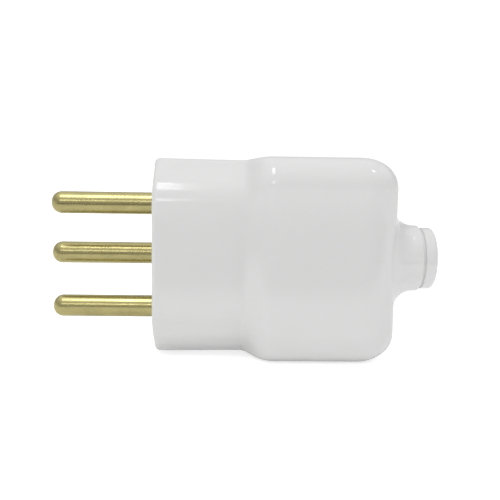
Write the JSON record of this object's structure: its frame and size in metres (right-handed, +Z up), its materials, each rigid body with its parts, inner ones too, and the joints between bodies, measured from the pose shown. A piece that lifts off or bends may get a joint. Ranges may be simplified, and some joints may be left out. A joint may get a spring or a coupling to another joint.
{
  "type": "three-pin plug",
  "caption": "Rewireable mains plug with round brass pins, a six-sided white nose, a thicker rounded grip and a ringed neck where the cord enters.",
  "frame": {"origin": "centre of the engagement face, on the parting plane and midway between the line and neutral pins", "axes": "+X from the pins to the cord neck, +Y from the cover to the base, +Z up with the plug on its narrow side as pictured, from neutral to line"},
  "size_m": [0.0703, 0.02, 0.0366],
  "materials": {
    "shell": "moulded, semi-gloss white",
    "pin": "turned, unplated",
    "screw": "zinc-plated",
    "clamp": "moulded, matt"
  },
  "bodies": {
    "root": {"base_shell": "shell", "cover_shell": "shell", "line_pin": "pin", "neutral_pin": "pin", "earth_pin": "pin", "line_terminal_screw": "screw", "neutral_terminal_screw": "screw", "earth_terminal_screw": "screw", "clamp_screw_upper": "screw", "clamp_screw_lower": "screw", "closing_screw": "screw", "closing_nut": "screw", "cord_clamp": "clamp"}
  },
  "joints": []
}
